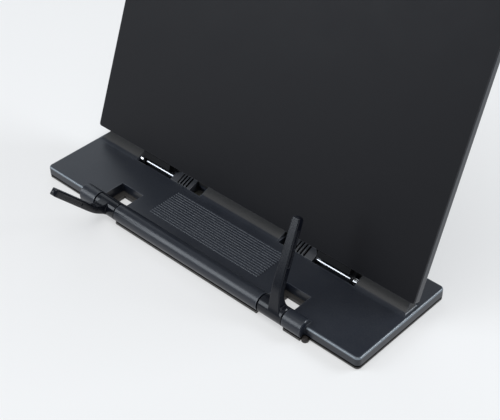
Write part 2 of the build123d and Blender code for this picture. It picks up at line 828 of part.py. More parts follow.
def hinge_lug():
    """Right-hand lug: a skirt that hides the back of the pocket and an eye for the hinge pin."""
    skirt = closed([
        (-face_offset, skirt_bottom + 0.5), (-face_offset + 0.5, skirt_bottom),
        (-1.0, skirt_under), (-board_back, skirt_under),
        (-board_back, board_bottom - 0.05), (-face_offset, board_bottom - 0.05),
    ])
    body = along_x(skirt, skirt_inner, eye_inner + 0.2)
    ring = Circle(eye_radius) + closed([
        (-eye_radius, 0), (-board_back, 0), (-board_back, board_bottom - 0.05),
        (-eye_radius, board_bottom - 0.05)])
    body = body + along_x(ring, eye_inner, eye_outer)
    tab = box_between(
        skirt_inner + 1, eye_outer,
        -(cover_inner + lug_tab_thickness), -cover_inner,
        board_bottom - 0.5, board_bottom + lug_tab_length)
    body = body + tab
    bore = rod_x(eye_inner - 1, eye_outer + 1, 0, 0, pin_diameter / 2 + pin_fit)
    return on_board(body - bore)


# ---------------------------------------------------------------- wire prop
def prop_bar_point():
    """Middle line of the prop's cross bar, in the drawing frame's Y and Z."""
    depth = board_back - bar_depth
    y = hinge_y + notch_height * math.sin(lean) - depth * math.cos(lean)
    z = hinge_z + notch_height * math.cos(lean) + depth * math.sin(lean)
    return y, z


def wire_prop():
    bar_y, bar_z = prop_bar_point()
    half = prop_radius + prop_slot_gap
    stub = prop_half + half + prop_stub - 1.5
    points = [
        (stub, prop_y, prop_z), (prop_half, prop_y, prop_z), (prop_half, bar_y, bar_z),
        (-prop_half, bar_y, bar_z), (-prop_half, prop_y, prop_z), (-stub, prop_y, prop_z),
    ]
    path = FilletPolyline(*points, radius=prop_bend)
    section = Plane(origin=points[0], z_dir=(-1, 0, 0)) * Circle(prop_radius)
    return sweep(section, path=path, transition=Transition.ROUND)


def bar_sleeves():
    """Soft sleeves on the bar where it meets the two ladders."""
    bar_y, bar_z = prop_bar_point()
    sleeves = []
    for side in (-1, 1):
        x0 = side * ladder_centre - ladder_width / 2 - 1
        x1 = side * ladder_centre + ladder_width / 2 + 1
        outer = rod_x(x0, x1, bar_y, bar_z, sleeve_radius)
        sleeves.append(outer - rod_x(x0 - 1, x1 + 1, bar_y, bar_z, prop_radius))
    return one(sleeves)


# ---------------------------------------------------------------- the nodes
def build():
    nodes = {
        "base_top_cover": base_top_cover(),
        "base_bottom_shell": base_bottom_shell(),
        "base_screws": base_screws(),
        "base_pads": base_pads(),
        "front_feet": front_feet(),
        "board_frame": board_frame(),
        "board_face_sheet": board_face_sheet(),
        "board_back_cover": board_back_cover(),
        "board_screws": board_screws(),
        "wire_prop": wire_prop(),
        "prop_sleeves": bar_sleeves(),
    }
    pairs = {
        "arm_axle": axle(),
        "hub_washers": hub_washers(),
        "hinge_bushing": hinge_bushing(),
        "latch_keeper": latch_keeper(),
        "detent_spring": detent_spring(),
        "latch_slider": latch_slider(),
        "hinge_pin": hinge_pin(),
        "hinge_lug": hinge_lug(),
        "notch_ladder": notch_ladder(),
    }
    for name, shape in pairs.items():
        nodes[f"right_{name}"] = shape
        nodes[f"left_{name}"] = mirror(shape, Plane.YZ)
    for name, shape in (("page_arm", arm_lever()), ("hub_bush", hub_bush())):
        nodes[f"right_{name}"] = arm_placed(shape, 1, right_arm_angle)
        nodes[f"left_{name}"] = arm_placed(shape, -1, left_arm_angle)
    return nodes


os.makedirs("parts", exist_ok=True)
for node_name, node_shape in build().items():
    placed = Pos(0, -origin_y, stand_height) * node_shape
    export_step(placed, f"parts/{node_name}.step")
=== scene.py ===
# %% [markdown]
# # A desk copy holder in black moulded plastic
# The holder is a low base with a broad board leaning back on it. Small page arms swing on a
# barrel along the front edge, and two latches draw the pins that the board hangs on.
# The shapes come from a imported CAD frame. This lesson gives them their finishes, adds the
# small fittings that repeat, and lights them.

# %% Load the frame
import bpy
import bmesh
import math
from mathutils import Matrix, Vector


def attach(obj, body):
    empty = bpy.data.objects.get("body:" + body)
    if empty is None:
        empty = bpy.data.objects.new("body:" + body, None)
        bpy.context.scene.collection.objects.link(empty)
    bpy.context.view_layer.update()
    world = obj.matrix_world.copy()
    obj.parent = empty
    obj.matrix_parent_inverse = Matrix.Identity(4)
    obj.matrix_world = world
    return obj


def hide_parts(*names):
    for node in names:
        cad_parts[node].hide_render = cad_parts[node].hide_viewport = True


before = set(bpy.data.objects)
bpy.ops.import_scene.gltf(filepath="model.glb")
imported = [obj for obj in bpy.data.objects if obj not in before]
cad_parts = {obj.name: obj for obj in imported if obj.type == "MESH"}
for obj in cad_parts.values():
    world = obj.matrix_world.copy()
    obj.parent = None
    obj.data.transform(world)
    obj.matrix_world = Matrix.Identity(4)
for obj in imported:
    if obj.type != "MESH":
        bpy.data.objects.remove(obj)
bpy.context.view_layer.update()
print("nodes:", len(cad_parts))


# %% [markdown]
# ## The camera
# A long flat object reads best through a longish lens, from well above and off one corner. The
# camera is placed by its spot and its three axes, with a slight roll, so no constraint or
# target object is needed.

# %% Camera
CAMERA_SPOT = Vector((0.4718, -0.4626, 0.5458))
CAMERA_AZIMUTH = math.radians(44.511)
CAMERA_ELEVATION = math.radians(38.469)
CAMERA_ROLL = math.radians(-1.643)
LENS_MM = 83.15
SENSOR_MM = 36.0


def camera_axes(azimuth, elevation, roll):
    """Right, up and backward directions of a camera that looks at the object from that angle."""
    back = Vector((
        math.sin(azimuth) * math.cos(elevation),
        -math.cos(azimuth) * math.cos(elevation),
        math.sin(elevation)))
    right = (-back).cross(Vector((0, 0, 1))).normalized()
    up = right.cross(-back)
    turned_right = right * math.cos(roll) + up * math.sin(roll)
    turned_up = up * math.cos(roll) - right * math.sin(roll)
    return turned_right, turned_up, back


right, up, back = camera_axes(CAMERA_AZIMUTH, CAMERA_ELEVATION, CAMERA_ROLL)
camera_data = bpy.data.cameras.new("studio_camera")
camera_data.lens = LENS_MM
camera_data.sensor_width = SENSOR_MM
camera = bpy.data.objects.new("studio_camera", camera_data)
camera.matrix_world = Matrix((
    (right.x, up.x, back.x, CAMERA_SPOT.x),
    (right.y, up.y, back.y, CAMERA_SPOT.y),
    (right.z, up.z, back.z, CAMERA_SPOT.z),
    (0, 0, 0, 1)))
bpy.context.scene.collection.objects.link(camera)
bpy.context.scene.camera = camera
print("camera at", [round(v, 3) for v in CAMERA_SPOT], "lens", LENS_MM)


# %% [markdown]
# ## Floor and light
# What is seen on black plastic is mostly the reflection of what stands round it, so the room is
# kept dim and a few soft boxes are put exactly where the rims and the barrel mirror them. For a
# surface that faces `n` and a camera in direction `v`, that place is `2 (n.v) n - v`, so a short
# helper works out each lamp's spot from the surface that it is to light up. The floor glows a
# little, as a back-lit table does, which keeps the shadows faint.

# %% Floor and world
FLOOR_REACH = 6
FLOOR_COLOUR = (0.40, 0.40, 0.40)
FLOOR_GLOW = 0.48
ROOM_COLOUR = (0.84, 0.92, 1.0)
ROOM_STRENGTH = 0.22


def floor_finish(colour, glow):
    """A pale matt table, lit from below as well as from above."""
    material = bpy.data.materials.new("studio_floor")
    material.use_nodes = True
    shader = material.node_tree.nodes["Principled BSDF"]
    shader.inputs["Base Color"].default_value = (*colour, 1)
    shader.inputs["Roughness"].default_value = 0.95
    shader.inputs["Specular IOR Level"].default_value = 0.1
    shader.inputs["Emission Color"].default_value = (1, 1, 1, 1)
    shader.inputs["Emission Strength"].default_value = glow
    return material


floor_mesh = bpy.data.meshes.new("floor")
floor_mesh.from_pydata(
    [(FLOOR_REACH * x, FLOOR_REACH * y, 0) for x, y in ((-1, -1), (1, -1), (1, 1), (-1, 1))],
    [], [(0, 1, 2, 3)])
floor = bpy.data.objects.new("floor", floor_mesh)
bpy.context.scene.collection.objects.link(floor)
floor.data.materials.append(floor_finish(FLOOR_COLOUR, FLOOR_GLOW))

world = bpy.data.worlds.new("studio_room")
world.use_nodes = True
background = world.node_tree.nodes["Background"]
background.inputs["Color"].default_value = (*ROOM_COLOUR, 1)
background.inputs["Strength"].default_value = ROOM_STRENGTH
bpy.context.scene.world = world
bpy.context.scene.view_settings.view_transform = "Standard"
print("floor and world ready")


# %% Soft boxes
def mirrored_from_camera(surface_normal):
    """The direction that a surface facing that way mirrors into the camera."""
    normal = Vector(surface_normal).normalized()
    return 2 * normal.dot(back) * normal - back


def soft_box(name, direction, distance, width, depth, power, colour):
    """A rectangular lamp out in that direction, turned to face the object."""
    lamp_data = bpy.data.lights.new(name, "AREA")
    lamp_data.shape = "RECTANGLE"
    lamp_data.size = width
    lamp_data.size_y = depth
    lamp_data.energy = power
    lamp_data.color = colour
    lamp = bpy.data.objects.new(name, lamp_data)
    lamp.location = Vector(direction).normalized() * distance
    lamp.rotation_euler = (-lamp.location).to_track_quat("-Z", "Y").to_euler()
    bpy.context.scene.collection.objects.link(lamp)
    print(name, "at", [round(v, 2) for v in lamp.location])


WHITE = (1, 1, 1)
COOL_WHITE = (0.88, 0.94, 1.0)
# Each lamp's name, direction, distance, width and depth in metres, power in watts, and colour.
SOFT_BOXES = (
    ("overhead_box", (0.10, -0.25, 1.0), 1.4, 1.1, 0.9, 8, WHITE),
    ("barrel_box", mirrored_from_camera((0, -1, 0.92)), 1.6, 1.0, 0.9, 13, COOL_WHITE),
    ("side_rim_box", mirrored_from_camera((1, 0, 1)), 1.5, 0.8, 0.5, 12, COOL_WHITE),
    ("back_card", mirrored_from_camera((-0.10, 0, 1)), 1.8, 1.5, 1.1, 4, COOL_WHITE))
for settings in SOFT_BOXES:
    soft_box(*settings)


# %% [markdown]
# ## Surface effects shared by several finishes
# Moulded plastic is never quite even. The tool leaves a fine grain, edges that hands touch get
# polished and a little paler, and dust settles on what faces up. The paler edges are also a
# painted highlight, for the light that the edges catch. Each effect is a small node group with
# named inputs, made once and placed in every finish that shows it. A group only puts out values
# that change over the surface, which can be baked when the model is exported.

# %% Helpers for node groups
def new_group(name, inputs, outputs=("Mask",)):
    """An empty shader group of number sockets; each input is (name, default)."""
    group = bpy.data.node_groups.new(name, "ShaderNodeTree")
    for socket_name, default in inputs:
        socket = group.interface.new_socket(
            socket_name, in_out="INPUT", socket_type="NodeSocketFloat")
        socket.default_value = default
    for socket_name in outputs:
        group.interface.new_socket(socket_name, in_out="OUTPUT", socket_type="NodeSocketFloat")
    return group, group.nodes.new("NodeGroupInput"), group.nodes.new("NodeGroupOutput")


def maths(tree, operation, a, b=None, clamp=False):
    """A Math node; a and b are sockets or numbers."""
    node = tree.nodes.new("ShaderNodeMath")
    node.operation = operation
    node.use_clamp = clamp
    for index, value in enumerate((a, b)):
        if value is None:
            continue
        if isinstance(value, (int, float)):
            node.inputs[index].default_value = value
        else:
            tree.links.new(value, node.inputs[index])
    return node.outputs[0]


def noise(tree, vector, scale, detail=3.0, roughness=0.55):
    """A Noise Texture's value; scale is a socket or a number."""
    node = tree.nodes.new("ShaderNodeTexNoise")
    node.inputs["Detail"].default_value = detail
    node.inputs["Roughness"].default_value = roughness
    if isinstance(scale, (int, float)):
        node.inputs["Scale"].default_value = scale
    else:
        tree.links.new(scale, node.inputs["Scale"])
    tree.links.new(vector, node.inputs["Vector"])
    return node.outputs["Fac"]


def split_up(tree, node_kind, socket_name):
    """The X, Y and Z sockets of a new node's vector."""
    split = tree.nodes.new("ShaderNodeSeparateXYZ")
    tree.links.new(tree.nodes.new(node_kind).outputs[socket_name], split.inputs[0])
    return split.outputs


def object_place(tree):
    """Where a point of the piece is, in metres, in the object's own frame."""
    return split_up(tree, "ShaderNodeTexCoord", "Object")


def true_facing(tree):
    """Which way the surface faces, before any bump."""
    return split_up(tree, "ShaderNodeNewGeometry", "Normal")


# %% Grain, wear and dust
EDGE_MASK_GAIN = 6.0
EDGE_MASK_PATCHES = 160.0
DUST_CLOUDS = 22.0
DUST_SPECKS = 900.0
DUST_GAIN = 2.0
DUST_STEEPNESS = 3.0


def moulded_grain():
    """Spark-eroded tool grain: a fine height for the bump and a broad, faint mottle."""
    group, enter, leave = new_group(
        "moulded_grain", [("Grain Scale", 2600.0), ("Mottle Scale", 38.0)], ("Height", "Mottle"))
    place = group.nodes.new("ShaderNodeTexCoord").outputs["Object"]
    fine = noise(group, place, enter.outputs["Grain Scale"], 2.0)
    broad = noise(group, place, enter.outputs["Mottle Scale"], 4.0)
    group.links.new(fine, leave.inputs["Height"])
    group.links.new(broad, leave.inputs["Mottle"])
    return group


def edge_wear():
    """Mask of rubbed edges and their painted highlight: where the true normal departs from the
    one of a rounded edge.
    """
    group, enter, leave = new_group("edge_wear", [("Width", 0.0006), ("Strength", 1.0)])
    rounded = group.nodes.new("ShaderNodeBevel")
    rounded.samples = 4
    group.links.new(enter.outputs["Width"], rounded.inputs["Radius"])
    true_normal = group.nodes.new("ShaderNodeNewGeometry").outputs["Normal"]
    dot = group.nodes.new("ShaderNodeVectorMath")
    dot.operation = "DOT_PRODUCT"
    group.links.new(rounded.outputs["Normal"], dot.inputs[0])
    group.links.new(true_normal, dot.inputs[1])
    away = maths(group, "SUBTRACT", 1.0, dot.outputs["Value"])
    place = group.nodes.new("ShaderNodeTexCoord").outputs["Object"]
    patchy = noise(group, place, EDGE_MASK_PATCHES, 3.0)
    rubbed_and_highlit = maths(group, "MULTIPLY", maths(group, "MULTIPLY", away, EDGE_MASK_GAIN), patchy)
    mask = maths(group, "MULTIPLY", rubbed_and_highlit, enter.outputs["Strength"], clamp=True)
    group.links.new(mask, leave.inputs["Mask"])
    return group


def settled_dust():
    """Mask of faint dust on what faces up: broad clouds of it, broken up by fine specks."""
    group, enter, leave = new_group("settled_dust", [("Amount", 0.1)])
    upward = maths(group, "MAXIMUM", true_facing(group)["Z"], 0.0)
    upward = maths(group, "POWER", upward, DUST_STEEPNESS)
    place = group.nodes.new("ShaderNodeTexCoord").outputs["Object"]
    cloud = noise(group, place, DUST_CLOUDS, 6.0, 0.65)
    speck = noise(group, place, DUST_SPECKS, 2.0)
    mixed = maths(group, "MULTIPLY", maths(group, "MULTIPLY", cloud, speck), DUST_GAIN)
    settled = maths(group, "MULTIPLY", mixed, upward)
    mask = maths(group, "MULTIPLY", settled, enter.outputs["Amount"], clamp=True)
    group.links.new(mask, leave.inputs["Mask"])
    return group


GRAIN, EDGE_RUB_AND_HIGHLIGHT, DUST = moulded_grain(), edge_wear(), settled_dust()
print("node groups:", GRAIN.name, EDGE_RUB_AND_HIGHLIGHT.name, DUST.name)


# %% [markdown]
# ## Masks that find a place
# Some parts of one moulding look different: the lips of the seam get no light, the ridge has a
# coarser, matt skin, and the rim carries a painted highlight, with a lower roughness where hands
# have polished it. A moulding has one material, so each is found by where it lies: its height,
# its depth, its distance from the middle, or its slope.

# %% Groups for the seam, the ridge and the rim
SEAM_SHARPNESS = 5000.0
RIM_GAIN = 4.4


def over(tree, value, limit, sharpness=3000.0):
    """1 where the value is past the limit, 0 before it, with a short slope between."""
    past = maths(tree, "SUBTRACT", value, limit)
    return maths(tree, "MULTIPLY", past, sharpness, clamp=True)


def between(tree, value, start, end, sharpness=3000.0):
    """1 where the value is between two limits, 0 outside them."""
    return maths(
        tree, "SUBTRACT", over(tree, value, start, sharpness), over(tree, value, end, sharpness),
        clamp=True)


def seam_shade():
    """Mask of the heights From to To, for the lips on both sides of the dark seam.

    Window Start and Window End are the distances from the middle between which it is left out.
    """
    group, enter, leave = new_group("seam_shade", [
        ("From", 0.0), ("To", 0.0042), ("Window Start", 0.0712), ("Window End", 0.0976)])
    place = object_place(group)
    band = between(
        group, place["Z"], enter.outputs["From"], enter.outputs["To"], SEAM_SHARPNESS)
    across = maths(group, "ABSOLUTE", place["X"])
    in_window = between(
        group, across, enter.outputs["Window Start"], enter.outputs["Window End"])
    clear = maths(group, "SUBTRACT", 1.0, in_window)
    group.links.new(maths(group, "MULTIPLY", band, clear), leave.inputs["Mask"])
    return group


def raised_part():
    """Mask of what stands higher than a height and farther back than a depth."""
    group, enter, leave = new_group("raised_part", [("Height", 0.0118), ("Depth", 0.0)])
    place = object_place(group)
    high = over(group, place["Z"], enter.outputs["Height"])
    behind = over(group, place["Y"], enter.outputs["Depth"])
    group.links.new(maths(group, "MULTIPLY", high, behind), leave.inputs["Mask"])
    return group


def rounded_rim():
    """Mask of a slab's rounded rim: between two heights and facing half up.

    It leaves out the middle of the front, inside Half Width and before Rear, where the barrel is.
    """
    group, enter, leave = new_group("rounded_rim", [
        ("Bottom", 0.0094), ("Top", 0.01098), ("Half Width", 0.1130), ("Rear", 0.0400)])
    upward = maths(group, "MAXIMUM", true_facing(group)["Z"], 0.0)
    sloping = maths(group, "MULTIPLY", upward, maths(group, "SUBTRACT", 1.0, upward))
    sloping = maths(group, "MULTIPLY", sloping, RIM_GAIN, clamp=True)
    place = object_place(group)
    band = between(group, place["Z"], enter.outputs["Bottom"], enter.outputs["Top"])
    outside = over(group, maths(group, "ABSOLUTE", place["X"]), enter.outputs["Half Width"])
    behind = over(group, place["Y"], enter.outputs["Rear"])
    outside = maths(group, "MAXIMUM", outside, behind)
    mask = maths(group, "MULTIPLY", maths(group, "MULTIPLY", sloping, band), outside)
    group.links.new(mask, leave.inputs["Mask"])
    return group


SEAM, RAISED, RIM = seam_shade(), raised_part(), rounded_rim()
print("node groups:", SEAM.name, RAISED.name, RIM.name)


# %% [markdown]
# ## The finishes
# One recipe serves all the plastics: a base colour with a faint mottle, paler on rubbed edges,
# where the paleness is also a painted highlight, and under dust, a grain in the bump, and a
# roughness that follows the mottle. Only the values differ from the glossy arms to the dull
# under-shell. A narrow hollow that swallows the light is painted as a black metal, because such
# a metal sends back neither colour nor gloss.

# %% Helpers for finishes
BAR_SHARPNESS = 12.0
HALF_UP = 0.5
FACING_SHARPNESS = 5.0


def place_group(tree, group, **values):
    """A shader group placed in a tree, with a value for each input that is named."""
    node = tree.nodes.new("ShaderNodeGroup")
    node.node_tree = group
    for socket_name, value in values.items():
        node.inputs[socket_name.replace("_", " ")].default_value = value
    return node


def mix_colour(tree, fac, a, b):
    """A colour between a and b; each is a socket or three numbers."""
    node = tree.nodes.new("ShaderNodeMix")
    node.data_type = "RGBA"
    tree.links.new(fac, node.inputs["Factor"])
    for socket, value in ((node.inputs[6], a), (node.inputs[7], b)):
        if isinstance(value, tuple):
            socket.default_value = (*value, 1)
        else:
            tree.links.new(value, socket)
    return node.outputs[2]


def between_bars(tree, start, pitch, width, count):
    """Mask of painted shade in the hollows before, between and after grip bars that stand side by
    side along X.
    """
    across = maths(tree, "ABSOLUTE", object_place(tree)["X"])
    turns = maths(tree, "DIVIDE", maths(tree, "SUBTRACT", across, start), pitch)
    hollow = over(tree, maths(tree, "FRACT", turns), width / pitch, BAR_SHARPNESS)
    before = over(tree, turns, width / pitch - 1.0, BAR_SHARPNESS)
    after = over(tree, turns, count, BAR_SHARPNESS)
    reach = maths(tree, "SUBTRACT", before, after)
    facing = over(tree, true_facing(tree)["Z"], HALF_UP, FACING_SHARPNESS)
    return maths(tree, "MULTIPLY", maths(tree, "MULTIPLY", hollow, reach), facing)


def add_bump(tree, height, distance, strength):
    """A bump on the tree's shader, from a height that is a socket."""
    bump = tree.nodes.new("ShaderNodeBump")
    bump.inputs["Distance"].default_value = distance
    bump.inputs["Strength"].default_value = strength
    tree.links.new(height, bump.inputs["Height"])
    tree.links.new(bump.outputs["Normal"], tree.nodes["Principled BSDF"].inputs["Normal"])


# %% The plastic recipe
DUST_COLOUR = (0.34, 0.33, 0.31)
NO_LIGHT = (0.002, 0.002, 0.002)
MOTTLE_IN_ROUGHNESS = 0.16
RIDGE_EXTRA_ROUGHNESS = 0.16
EDGE_POLISH = 0.45
PALE_EDGE_GAIN, PALE_EDGE_LIFT = 2.2, 0.055
GRAIN_BUMP = 0.6


def pale_edge(colour):
    """The colour of a rubbed edge, partly a painted highlight: paler than the body, but never
    quite white.
    """
    return tuple(min(1, c * PALE_EDGE_GAIN + PALE_EDGE_LIFT) for c in colour)


def moulded_plastic(name, colour, roughness, grain_scale=2600.0, grain_depth=0.00003,
                    mottle=0.10, wear=0.5, rub_and_highlight_width=0.0006, dust=0.06, gloss=0.5,
                    dark_band=None, matt_ridge=None, bright_rim=None, bars=None):
    """Moulded plastic with grain, mottle, rubbed edges that carry a painted highlight, and a
    little dust.

    gloss is the specular level. dark_band is the two heights in metres of the lip of a joint
    that no light gets into. matt_ridge is the colour of the coarser, matt ridge, and
    bright_rim that of the rim: a painted highlight, where hands have also polished it.
    bars is the start, pitch, width and count of grip bars, with painted shade in the hollows
    between them.
    """
    material = bpy.data.materials.new(name)
    material.use_nodes = True
    tree = material.node_tree
    shader = tree.nodes["Principled BSDF"]
    shader.inputs["Specular IOR Level"].default_value = gloss
    grain = place_group(tree, GRAIN, Grain_Scale=grain_scale)
    rubbed_and_highlit = place_group(tree, EDGE_RUB_AND_HIGHLIGHT, Width=rub_and_highlight_width, Strength=wear).outputs["Mask"]
    dusty = place_group(tree, DUST, Amount=dust).outputs["Mask"]
    spread = maths(tree, "SUBTRACT", grain.outputs["Mottle"], 0.5)
    spread = maths(tree, "MULTIPLY", spread, MOTTLE_IN_ROUGHNESS)
    spread = maths(tree, "ADD", spread, roughness, clamp=True)
    deep = tuple(c * (1 - mottle) for c in colour)
    light = tuple(min(1, c * (1 + mottle)) for c in colour)
    body = mix_colour(tree, grain.outputs["Mottle"], deep, light)
    if matt_ridge is not None:
        on_ridge = place_group(tree, RAISED).outputs["Mask"]
        body = mix_colour(tree, on_ridge, body, matt_ridge)
        coarser = maths(tree, "MULTIPLY", on_ridge, RIDGE_EXTRA_ROUGHNESS)
        spread = maths(tree, "ADD", spread, coarser, clamp=True)
    # Rubbed edges are paler: partly rubbing, partly a painted highlight on the edges.
    body = mix_colour(tree, rubbed_and_highlit, body, pale_edge(colour))
    body = mix_colour(tree, dusty, body, DUST_COLOUR)
    # The rim's colour is a painted highlight; its lower roughness stands for polish.
    if bright_rim is not None:
        rim = place_group(tree, RIM).outputs["Mask"]
        body = mix_colour(tree, rim, body, bright_rim)
        rubbed_and_highlit = maths(tree, "MAXIMUM", rubbed_and_highlit, rim)
    # Painted shade: the seam's lips and the hollows between grip bars are made black metal, which
    # sends back no light.
    shade = None
    if bars is not None:
        shade = between_bars(tree, *bars)
    elif dark_band is not None:
        shade = place_group(tree, SEAM, From=dark_band[0], To=dark_band[1]).outputs["Mask"]
    if shade is not None:
        body = mix_colour(tree, shade, body, NO_LIGHT)
        tree.links.new(shade, shader.inputs["Metallic"])
    tree.links.new(body, shader.inputs["Base Color"])
    polish = maths(tree, "SUBTRACT", 1.0, maths(tree, "MULTIPLY", rubbed_and_highlit, EDGE_POLISH))
    tree.links.new(maths(tree, "MULTIPLY", spread, polish), shader.inputs["Roughness"])
    add_bump(tree, grain.outputs["Height"], grain_depth, GRAIN_BUMP)
    return material


# %% The plastics
BASE_PLASTIC = moulded_plastic(
    "base_plastic", (0.010, 0.013, 0.021), 0.32, wear=1.0, rub_and_highlight_width=0.0014,
    dark_band=(-0.001, 0.0042), matt_ridge=(0.032, 0.031, 0.031), bright_rim=(0.20, 0.23, 0.26))
# The ribs are a little paler than the base: that paleness paints part of their bright lines of
# light.
RIB_PLASTIC = moulded_plastic(
    "rib_plastic", (0.020, 0.024, 0.034), 0.22, grain_depth=0.00001, wear=0.0, dust=0.0)
TRAY_PLASTIC = moulded_plastic(
    "tray_plastic", (0.040, 0.036, 0.033), 0.50, wear=0.3, dark_band=(0.0028, 0.0034))
# The seam strips' black is painted shade, for the shadow inside the joint.
PAINTED_SEAM_SHADE = moulded_plastic("seam_seal", NO_LIGHT, 0.9, wear=0.0, dust=0.0, gloss=0.0)
FITTING_PLASTIC = moulded_plastic("fitting_plastic", (0.030, 0.029, 0.024), 0.55, wear=0.3)
BOARD_EDGE = moulded_plastic("board_edge_plastic", (0.018, 0.021, 0.028), 0.32, wear=0.6)
BOARD_FACE = moulded_plastic(
    "board_face_film", (0.004, 0.004, 0.006), 0.48, grain_scale=3400.0, dust=0.02, gloss=0.22)
LUG_PLASTIC = moulded_plastic(
    "lug_plastic", (0.003, 0.003, 0.004), 0.60, dust=0.0, wear=0.2, gloss=0.25)
BACK_PLASTIC = moulded_plastic("back_cover_plastic", (0.014, 0.015, 0.019), 0.55)
ARM_PLASTIC = moulded_plastic(
    "arm_plastic", (0.005, 0.006, 0.010), 0.20, grain_depth=0.00001, dust=0.02,
    wear=1.0, rub_and_highlight_width=0.0009, gloss=0.34)
LATCH_PLASTIC = moulded_plastic(
    "latch_plastic", (0.028, 0.030, 0.036), 0.38, wear=1.0, bars=(0.05610, 0.0030, 0.0014, 3))
BUSH_PLASTIC = moulded_plastic("bush_plastic", (0.50, 0.49, 0.45), 0.5, mottle=0.05, wear=0.1)
RUBBER = moulded_plastic(
    "button_rubber", (0.026, 0.020, 0.018), 0.70, grain_scale=1500.0, grain_depth=0.00006,
    wear=0.2)
print("plastics:", [m.name for m in bpy.data.materials])


# %% [markdown]
# ## Bright metal
# The hinge pins are drawn steel rod, which shows fine lines along its length. Stretching a
# noise along the rod's own axis gives them, in the colour, the roughness and the bump. A turned
# or stamped piece has no such lines, so its noise is stretched alike in all directions.

# %% Steel
ALONG_X = (60.0, 1800.0, 1800.0)
LINE_DEPTH = 0.00001
LINE_DARKNESS = 0.82
LINE_ROUGHNESS = 0.18


def drawn_steel(name, colour, roughness, stretch=ALONG_X):
    """Bare metal with faint lines; stretch is how fine its noise is along X, Y and Z."""
    material = bpy.data.materials.new(name)
    material.use_nodes = True
    tree = material.node_tree
    shader = tree.nodes["Principled BSDF"]
    shader.inputs["Metallic"].default_value = 1.0
    place = tree.nodes.new("ShaderNodeTexCoord").outputs["Object"]
    mapping = tree.nodes.new("ShaderNodeMapping")
    mapping.inputs["Scale"].default_value = stretch
    tree.links.new(place, mapping.inputs["Vector"])
    lines = noise(tree, mapping.outputs["Vector"], 1.0, 3.0)
    tone = mix_colour(tree, lines, tuple(c * LINE_DARKNESS for c in colour), colour)
    tree.links.new(tone, shader.inputs["Base Color"])
    varied = maths(tree, "MULTIPLY", lines, LINE_ROUGHNESS)
    varied = maths(tree, "ADD", varied, roughness - LINE_ROUGHNESS / 2)
    tree.links.new(varied, shader.inputs["Roughness"])
    add_bump(tree, lines, LINE_DEPTH, 1.0)
    return material


PIN_STEEL = drawn_steel("pin_steel", (0.56, 0.57, 0.60), 0.30)
BUSH_METAL = drawn_steel("bush_metal", (0.86, 0.86, 0.87), 0.20, (900.0, 900.0, 900.0))
WIRE_STEEL = drawn_steel("prop_wire_steel", (0.46, 0.47, 0.49), 0.34)
SCREW_STEEL = drawn_steel("screw_steel", (0.30, 0.30, 0.31), 0.36, (700.0, 700.0, 700.0))
SPRING_STEEL = drawn_steel("spring_steel", (0.52, 0.52, 0.53), 0.30)
# The hub washers' near-black finish is painted shade, for the dark gaps beside the hubs.
HUB_GAP_SHADE_STEEL = drawn_steel("blackened_steel", (0.030, 0.030, 0.034), 0.42)
print("metals:", [m.name for m in bpy.data.materials if m.name.endswith(("steel", "metal"))])


# %% [markdown]
# ## Dressing the carried pieces
# The CAD shapes are right as they stand, so each keeps its mesh and only takes a finish.
# A table of name endings keeps the right and left pieces alike.

# %% Finishes on the carried pieces
FINISHES = {
    "base_top_cover": BASE_PLASTIC, "base_bottom_shell": TRAY_PLASTIC, "base_screws": SCREW_STEEL,
    "base_pads": RUBBER, "front_feet": RUBBER, "board_frame": BOARD_EDGE,
    "board_face_sheet": BOARD_FACE, "board_back_cover": BACK_PLASTIC, "board_screws": SCREW_STEEL,
    "wire_prop": WIRE_STEEL, "prop_sleeves": RUBBER, "arm_axle": PIN_STEEL,
    "hub_washers": HUB_GAP_SHADE_STEEL, "hinge_bushing": BUSH_METAL, "latch_keeper": FITTING_PLASTIC,
    "detent_spring": SPRING_STEEL, "latch_slider": LATCH_PLASTIC, "hinge_pin": PIN_STEEL,
    "hinge_lug": LUG_PLASTIC, "notch_ladder": BACK_PLASTIC, "page_arm": ARM_PLASTIC,
    "hub_bush": BUSH_PLASTIC,
}
for node_name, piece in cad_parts.items():
    ending = node_name.replace("right_", "").replace("left_", "")
    piece.data.materials.clear()
    piece.data.materials.append(FINISHES[ending])
print("dressed", len(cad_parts), "carried pieces")


# %% [markdown]
# ## The rib field
# Fourteen fine ribs keep the foot of a book from sliding. In the solid they are plain ridges.
# The real ones are rounded on top, and each draws one thin bright line of light. They are all
# alike and evenly spaced, so Geometry Nodes lay them: a line of points, one rounded bar on each.
# A circle, flattened a little and swept along a straight curve, makes the bar, and its ends are
# closed. Its lower half lies sunk in the plain ridge.

# %% Helpers for Geometry Nodes
def new_tree(name, numbers):
    """An empty geometry tree with named number inputs; each is (name, default)."""
    tree = bpy.data.node_groups.new(name, "GeometryNodeTree")
    sockets = tree.interface
    sockets.new_socket("Geometry", in_out="INPUT", socket_type="NodeSocketGeometry")
    for socket_name, default in numbers:
        kind = "NodeSocketInt" if isinstance(default, int) else "NodeSocketFloat"
        socket = sockets.new_socket(socket_name, in_out="INPUT", socket_type=kind)
        socket.default_value = default
    sockets.new_socket("Geometry", in_out="OUTPUT", socket_type="NodeSocketGeometry")
    return tree, tree.nodes.new("NodeGroupInput"), tree.nodes.new("NodeGroupOutput")


def new_node(tree, kind, links=(), settings=()):
    """A node with its sockets linked or set; each is (name or number, what goes there)."""
    node = tree.nodes.new(kind)
    for key, source in links:
        tree.links.new(source, node.inputs[key])
    for key, value in settings:
        node.inputs[key].default_value = value
    return node


def close_tree(tree, leave, instances, material):
    """Every tree here ends alike: instances made real, then their finish."""
    real = new_node(tree, "GeometryNodeRealizeInstances", [("Geometry", instances)])
    finish = new_node(
        tree, "GeometryNodeSetMaterial", [("Geometry", real.outputs["Geometry"])],
        [("Material", material)])
    tree.links.new(finish.outputs["Geometry"], leave.inputs["Geometry"])


